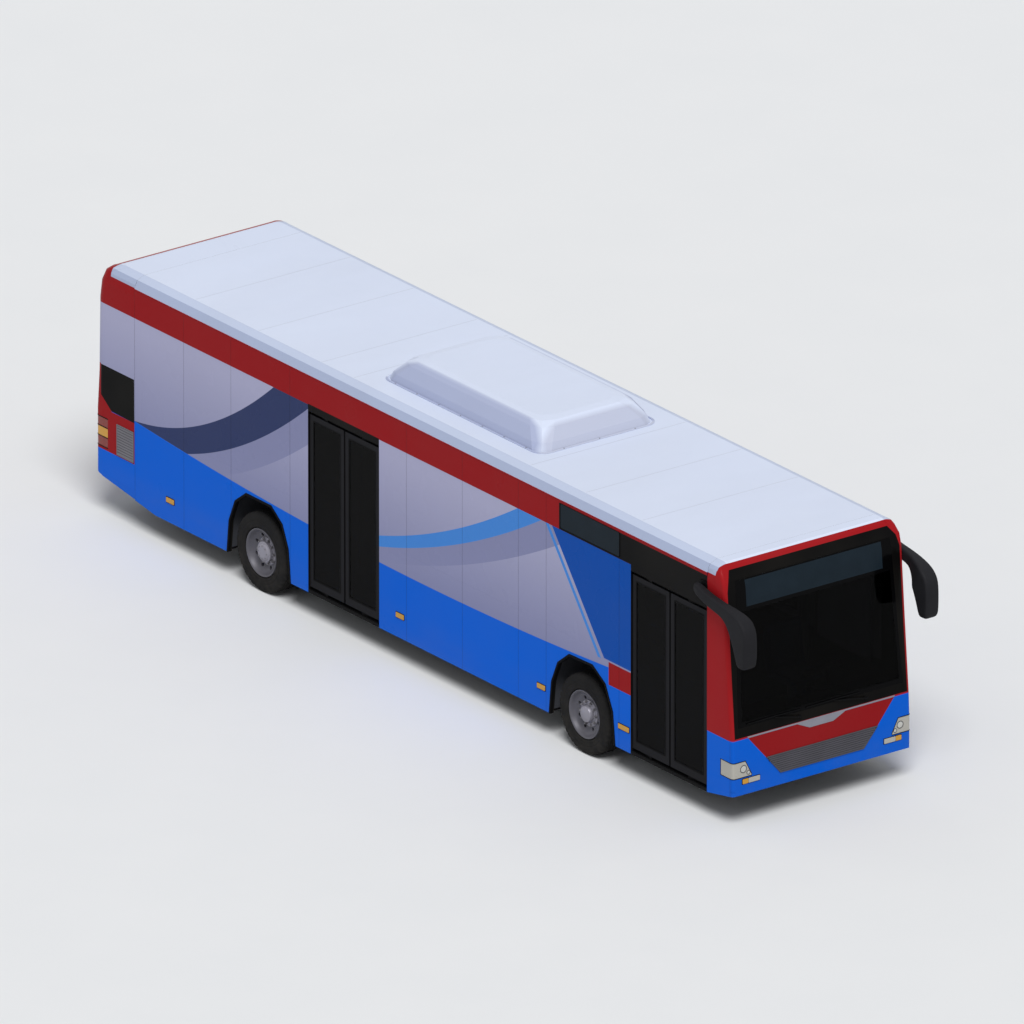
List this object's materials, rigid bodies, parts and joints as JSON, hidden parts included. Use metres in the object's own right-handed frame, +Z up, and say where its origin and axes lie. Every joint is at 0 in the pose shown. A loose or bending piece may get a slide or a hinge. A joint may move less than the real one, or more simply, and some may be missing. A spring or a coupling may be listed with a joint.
{
  "type": "airport passenger bus",
  "caption": "Rigid low-floor apron bus with gliding doors on its right side, flush side glass, roof cooling unit and hanging mirrors, shown parked with doors shut.",
  "frame": {"origin": "middle of the whole outline, on the ground", "axes": "+X forward, +Y to the left of the bus, +Z up"},
  "size_m": [12.355, 2.74, 3.37],
  "materials": {
    "paint_body": "gloss",
    "paint_roof": "gloss",
    "paint_front": "gloss",
    "dark_glass": "tinted",
    "lamp_clear": "clear",
    "lamp_red": "gloss",
    "rubber": "matt",
    "wheel_metal": "satin",
    "door_frame": "satin",
    "bright_metal": "satin",
    "mirror_shell": "satin",
    "frame_steel": "matt",
    "engine_iron": "matt",
    "floor_trim": "matt",
    "seat_shell": "woven"
  },
  "bodies": {
    "coachwork": {"side_wall_right": "paint_body", "side_wall_left": "paint_body", "rear_frame": "paint_body", "rear_bumper": "paint_body", "roof_shell": "paint_roof", "roof_unit": "paint_roof", "front_mask": "paint_front", "front_bumper": "paint_front", "windscreen": "dark_glass", "rear_window": "dark_glass", "glazing_right_rear": "dark_glass", "glazing_right_front": "dark_glass", "glazing_left_rear": "dark_glass", "glazing_left_front": "dark_glass", "driver_window": "dark_glass", "headlamp_left": "lamp_clear", "headlamp_right": "lamp_clear", "tail_lamp_left": "lamp_red", "tail_lamp_right": "lamp_red", "handrails": "bright_metal", "mirror_left": "mirror_shell", "mirror_right": "mirror_shell", "chassis_frame": "frame_steel", "front_axle": "frame_steel", "rear_axle": "frame_steel", "engine_block": "engine_iron", "floor_platform": "floor_trim", "driver_console": "floor_trim", "driver_partition": "floor_trim", "seats_left": "seat_shell", "seats_right": "seat_shell", "rear_bench": "seat_shell", "driver_seat": "seat_shell"},
    "knuckle_left": {"knuckle_left": "frame_steel"},
    "knuckle_right": {"knuckle_right": "frame_steel"},
    "tie_rod": {"tie_rod": "frame_steel"},
    "front_wheel_left": {"front_wheel_left": "wheel_metal", "front_tyre_left": "rubber"},
    "front_wheel_right": {"front_wheel_right": "wheel_metal", "front_tyre_right": "rubber"},
    "rear_wheel_left": {"rear_wheel_left": "wheel_metal", "rear_outer_tyre_left": "rubber", "rear_inner_tyre_left": "rubber"},
    "rear_wheel_right": {"rear_wheel_right": "wheel_metal", "rear_outer_tyre_right": "rubber", "rear_inner_tyre_right": "rubber"},
    "engine_lid": {"engine_lid": "paint_body"},
    "front_door_front_pillar": {"front_door_pillar_front": "bright_metal"},
    "front_door_front_leaf": {"front_door_leaf_front": "door_frame", "front_door_pane_front": "dark_glass"},
    "front_door_rear_pillar": {"front_door_pillar_rear": "bright_metal"},
    "front_door_rear_leaf": {"front_door_leaf_rear": "door_frame", "front_door_pane_rear": "dark_glass"},
    "middle_door_front_pillar": {"middle_door_pillar_front": "bright_metal"},
    "middle_door_front_leaf": {"middle_door_leaf_front": "door_frame", "middle_door_pane_front": "dark_glass"},
    "middle_door_rear_pillar": {"middle_door_pillar_rear": "bright_metal"},
    "middle_door_rear_leaf": {"middle_door_leaf_rear": "door_frame", "middle_door_pane_rear": "dark_glass"}
  },
  "joints": [
    {"name": "steer_left", "type": "hinge", "parent": "coachwork", "child": "knuckle_left", "pos_m": [3.0025, 0.9, 0.4757], "axis": [0, 0, 1], "range_deg": [-38, 38]},
    {"name": "steer_right", "type": "hinge", "parent": "coachwork", "child": "knuckle_right", "pos_m": [3.0025, -0.9, 0.4757], "axis": [0, 0, 1], "range_deg": [-38, 38]},
    {"name": "tie_rod_left_end", "type": "hinge", "parent": "knuckle_left", "child": "tie_rod", "pos_m": [2.8025, 0.9, 0.27], "axis": [0, 0, 1], "range_deg": [-38, 38]},
    {"name": "front_wheel_left_spin", "type": "hinge", "parent": "knuckle_left", "child": "front_wheel_left", "pos_m": [3.0025, 1.0925, 0.4757], "axis": [0, 1, 0], "continuous": true},
    {"name": "rear_wheel_left_spin", "type": "hinge", "parent": "coachwork", "child": "rear_wheel_left", "pos_m": [-3.0825, 1.0925, 0.4757], "axis": [0, 1, 0], "continuous": true},
    {"name": "front_wheel_right_spin", "type": "hinge", "parent": "knuckle_right", "child": "front_wheel_right", "pos_m": [3.0025, -1.0925, 0.4757], "axis": [0, 1, 0], "continuous": true},
    {"name": "rear_wheel_right_spin", "type": "hinge", "parent": "coachwork", "child": "rear_wheel_right", "pos_m": [-3.0825, -1.0925, 0.4757], "axis": [0, 1, 0], "continuous": true},
    {"name": "front_door_rear_pillar_turn", "type": "hinge", "parent": "coachwork", "child": "front_door_rear_pillar", "pos_m": [3.8945, -1.1575, 1.4275], "axis": [0, 0, 1], "range_deg": [0, 90]},
    {"name": "front_door_front_pillar_turn", "type": "hinge", "parent": "coachwork", "child": "front_door_front_pillar", "pos_m": [5.3405, -1.1575, 1.4275], "axis": [0, 0, 1], "range_deg": [-90, 0]},
    {"name": "front_door_rear_leaf_turn", "type": "hinge", "parent": "front_door_rear_pillar", "child": "front_door_rear_leaf", "pos_m": [4.2635, -1.2175, 1.4275], "axis": [0, 0, 1], "range_deg": [-180, 0]},
    {"name": "front_door_front_leaf_turn", "type": "hinge", "parent": "front_door_front_pillar", "child": "front_door_front_leaf", "pos_m": [4.9715, -1.2175, 1.4275], "axis": [0, 0, 1], "range_deg": [0, 180]},
    {"name": "middle_door_rear_pillar_turn", "type": "hinge", "parent": "coachwork", "child": "middle_door_rear_pillar", "pos_m": [-2.1585, -1.1575, 1.4275], "axis": [0, 0, 1], "range_deg": [0, 90]},
    {"name": "middle_door_front_pillar_turn", "type": "hinge", "parent": "coachwork", "child": "middle_door_front_pillar", "pos_m": [-0.7885, -1.1575, 1.4275], "axis": [0, 0, 1], "range_deg": [-90, 0]},
    {"name": "middle_door_rear_leaf_turn", "type": "hinge", "parent": "middle_door_rear_pillar", "child": "middle_door_rear_leaf", "pos_m": [-1.8085, -1.2175, 1.4275], "axis": [0, 0, 1], "range_deg": [-180, 0]},
    {"name": "middle_door_front_leaf_turn", "type": "hinge", "parent": "middle_door_front_pillar", "child": "middle_door_front_leaf", "pos_m": [-1.1385, -1.2175, 1.4275], "axis": [0, 0, 1], "range_deg": [0, 180]},
    {"name": "engine_lid_hinge", "type": "hinge", "parent": "coachwork", "child": "engine_lid", "pos_m": [-6.1775, 0, 1.717], "axis": [0, 1, 0], "range_deg": [0, 75]}
  ],
  "couplings": [
    {"joint": "steer_right", "follows": "steer_left", "ratio": 1},
    {"joint": "tie_rod_left_end", "follows": "steer_left", "ratio": -1},
    {"joint": "front_door_front_pillar_turn", "follows": "front_door_rear_pillar_turn", "ratio": -1},
    {"joint": "front_door_rear_leaf_turn", "follows": "front_door_rear_pillar_turn", "ratio": -2},
    {"joint": "front_door_front_leaf_turn", "follows": "front_door_rear_pillar_turn", "ratio": 2},
    {"joint": "middle_door_front_pillar_turn", "follows": "middle_door_rear_pillar_turn", "ratio": -1},
    {"joint": "middle_door_rear_leaf_turn", "follows": "middle_door_rear_pillar_turn", "ratio": -2},
    {"joint": "middle_door_front_leaf_turn", "follows": "middle_door_rear_pillar_turn", "ratio": 2}
  ]
}
